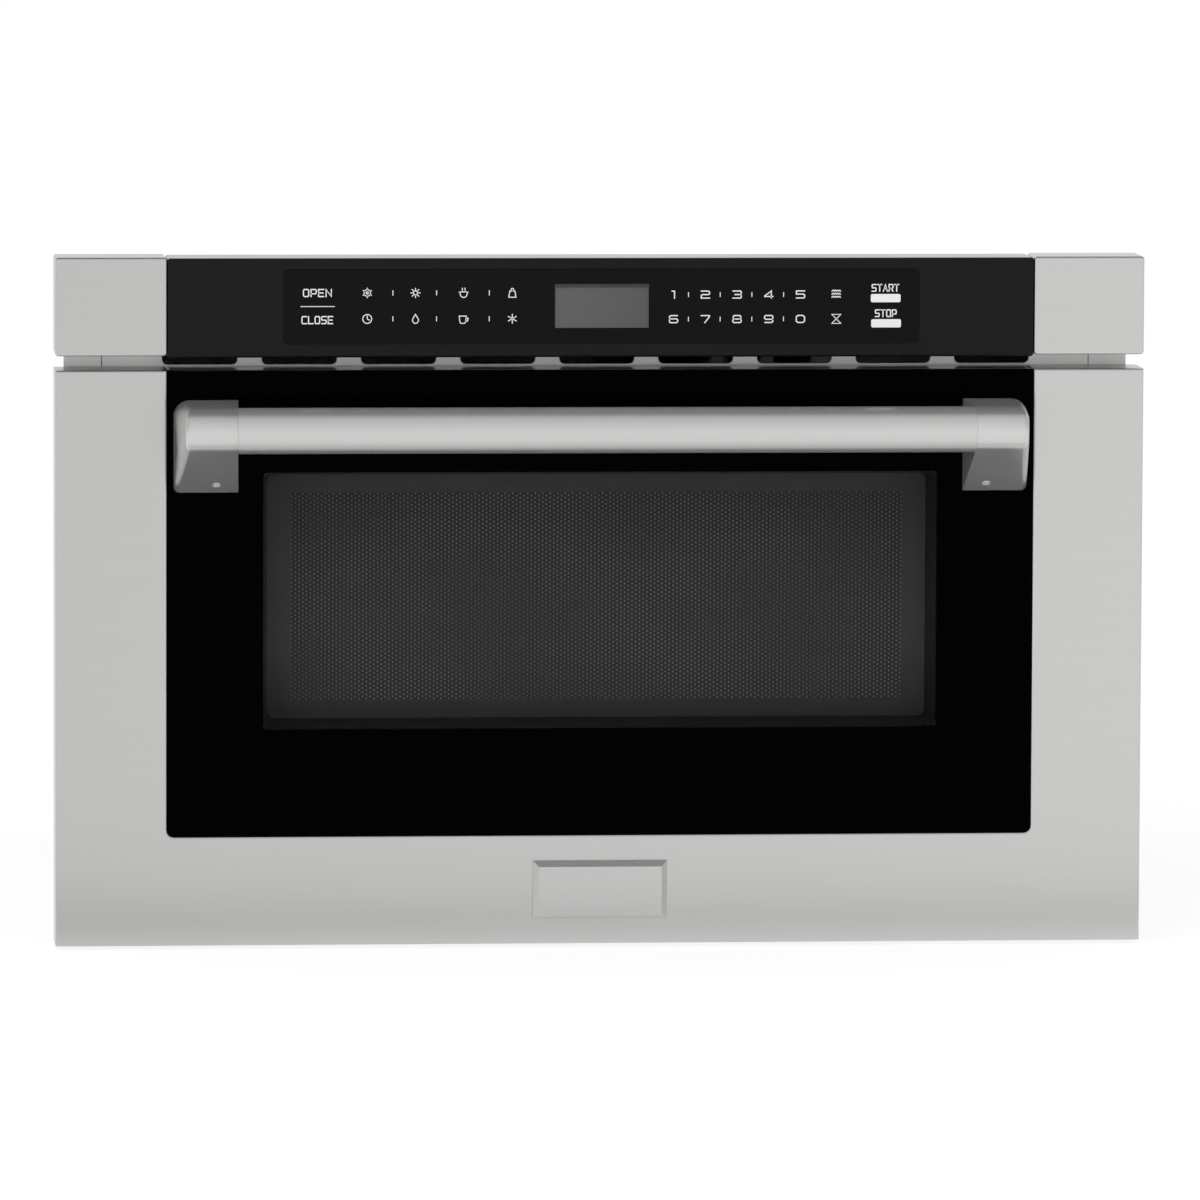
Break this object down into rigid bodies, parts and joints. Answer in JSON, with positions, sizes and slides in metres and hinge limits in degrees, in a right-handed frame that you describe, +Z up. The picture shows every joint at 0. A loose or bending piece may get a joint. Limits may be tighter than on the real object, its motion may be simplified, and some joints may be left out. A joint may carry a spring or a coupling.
{
  "type": "microwave drawer",
  "caption": "Built-in microwave oven that opens as a drawer, with a stainless front, a dark window, a round bar handle and a control row above",
  "frame": {"origin": "centre of the bounding box in plan, on the shelf under the feet", "axes": "the drawer opens toward -Y, +X is to the right as seen from the front, and +Z is up"},
  "size_m": [0.605, 0.646, 0.3845],
  "materials": {
    "galvanised_steel": "satin",
    "cavity_enamel": "matte",
    "brushed_steel": "brushed",
    "satin_steel": "satin",
    "black_glass": "gloss",
    "window_glass": "gloss",
    "black_plastic": "satin",
    "carrier_plastic": "matte",
    "white_plastic": "satin",
    "screen_enamel": "matte",
    "glass_ceramic": "gloss",
    "silicone_rubber": "matte",
    "aluminium": "satin",
    "copper_windings": "satin",
    "circuit_board": "satin"
  },
  "bodies": {
    "chassis": {"base_pan": "galvanised_steel", "rear_panel": "galvanised_steel", "top_cover": "galvanised_steel", "front_flange": "galvanised_steel", "waveguide": "galvanised_steel", "air_duct": "galvanised_steel", "side_panel_left": "galvanised_steel", "side_panel_right": "galvanised_steel", "mounting_strip_left": "galvanised_steel", "mounting_strip_right": "galvanised_steel", "slide_outer_left": "galvanised_steel", "slide_outer_right": "galvanised_steel", "fan_motor": "galvanised_steel", "antenna_motor": "galvanised_steel", "cavity_floor": "cavity_enamel", "cavity_wall_left": "cavity_enamel", "cavity_wall_right": "cavity_enamel", "cavity_ceiling": "cavity_enamel", "cavity_rear": "cavity_enamel", "end_cap_left": "brushed_steel", "end_cap_right": "brushed_steel", "control_overlay": "black_glass", "control_panel": "black_plastic", "foot_front_left": "black_plastic", "foot_front_right": "black_plastic", "foot_rear_left": "black_plastic", "foot_rear_right": "black_plastic", "cord_bushing": "black_plastic", "fan_shroud": "black_plastic", "drive_motor": "black_plastic", "switch_block": "white_plastic", "lamp": "white_plastic", "magnetron": "aluminium", "magnetron_dome": "aluminium", "capacitor": "aluminium", "transformer": "copper_windings", "control_board": "circuit_board", "power_board": "circuit_board"},
    "drawer": {"door_frame": "brushed_steel", "door_glass": "black_glass", "door_carrier": "carrier_plastic", "door_screen": "screen_enamel", "door_back": "galvanised_steel", "inner_window": "window_glass", "door_seal": "silicone_rubber", "drawer_tub": "cavity_enamel", "ceramic_tray": "glass_ceramic", "name_plate": "satin_steel", "drive_rack": "white_plastic", "interlock_tongue": "galvanised_steel", "handle_bar": "satin_steel", "handle_bracket_left": "satin_steel", "handle_bracket_right": "satin_steel", "slide_inner_left": "galvanised_steel", "slide_inner_right": "galvanised_steel"},
    "left_slide_member": {"slide_middle_left": "galvanised_steel"},
    "right_slide_member": {"slide_middle_right": "galvanised_steel"},
    "pinion": {"drive_pinion": "white_plastic"},
    "stirrer": {"antenna": "aluminium"},
    "fan": {"fan_impeller": "black_plastic"}
  },
  "joints": [
    {"name": "drawer_slide", "type": "slide", "parent": "chassis", "child": "drawer", "axis": [0, -1, 0], "range_m": [0, 0.38]},
    {"name": "left_member_slide", "type": "slide", "parent": "chassis", "child": "left_slide_member", "axis": [0, -1, 0], "range_m": [0, 0.19]},
    {"name": "right_member_slide", "type": "slide", "parent": "chassis", "child": "right_slide_member", "axis": [0, -1, 0], "range_m": [0, 0.19]},
    {"name": "pinion_spin", "type": "hinge", "parent": "chassis", "child": "pinion", "pos_m": [-0.102, -0.21095, 0.0627], "axis": [0, 0, 1], "range_deg": [0, 1210]},
    {"name": "stirrer_spin", "type": "hinge", "parent": "chassis", "child": "stirrer", "pos_m": [0, -0.03, 0.09], "axis": [0, 0, 1], "continuous": true},
    {"name": "fan_spin", "type": "hinge", "parent": "chassis", "child": "fan", "pos_m": [-0.165, 0.3, 0.1532], "axis": [0, 1, 0], "continuous": true}
  ],
  "couplings": [
    {"joint": "left_member_slide", "follows": "drawer_slide", "ratio": 0.5},
    {"joint": "right_member_slide", "follows": "drawer_slide", "ratio": 0.5},
    {"joint": "pinion_spin", "follows": "drawer_slide", "rad_per_m": 55.556}
  ]
}
